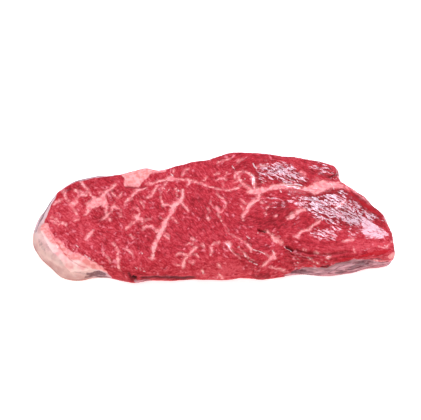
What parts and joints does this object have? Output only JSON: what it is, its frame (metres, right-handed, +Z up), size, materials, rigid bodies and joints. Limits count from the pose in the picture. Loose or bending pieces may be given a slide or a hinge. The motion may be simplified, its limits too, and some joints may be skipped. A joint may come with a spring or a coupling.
{
  "type": "raw sirloin steak",
  "caption": "Raw sirloin steak lying flat, with marbled lean, a fat cap and rind at one end and a thin tip at the other.",
  "frame": {"origin": "middle of the steak's bounding box, on the surface that it lies on", "axes": "+X along the length from the fat cap to the thin tip, +Y across the slice towards its back edge, +Z up through the thickness"},
  "size_m": [0.2234, 0.0998, 0.0256],
  "materials": {
    "raw_beef": "moist raw beef, red lean with pale pink marbling and a cream fat cap"
  },
  "bodies": {
    "root": {"sirloin_steak": "raw_beef"}
  },
  "joints": []
}
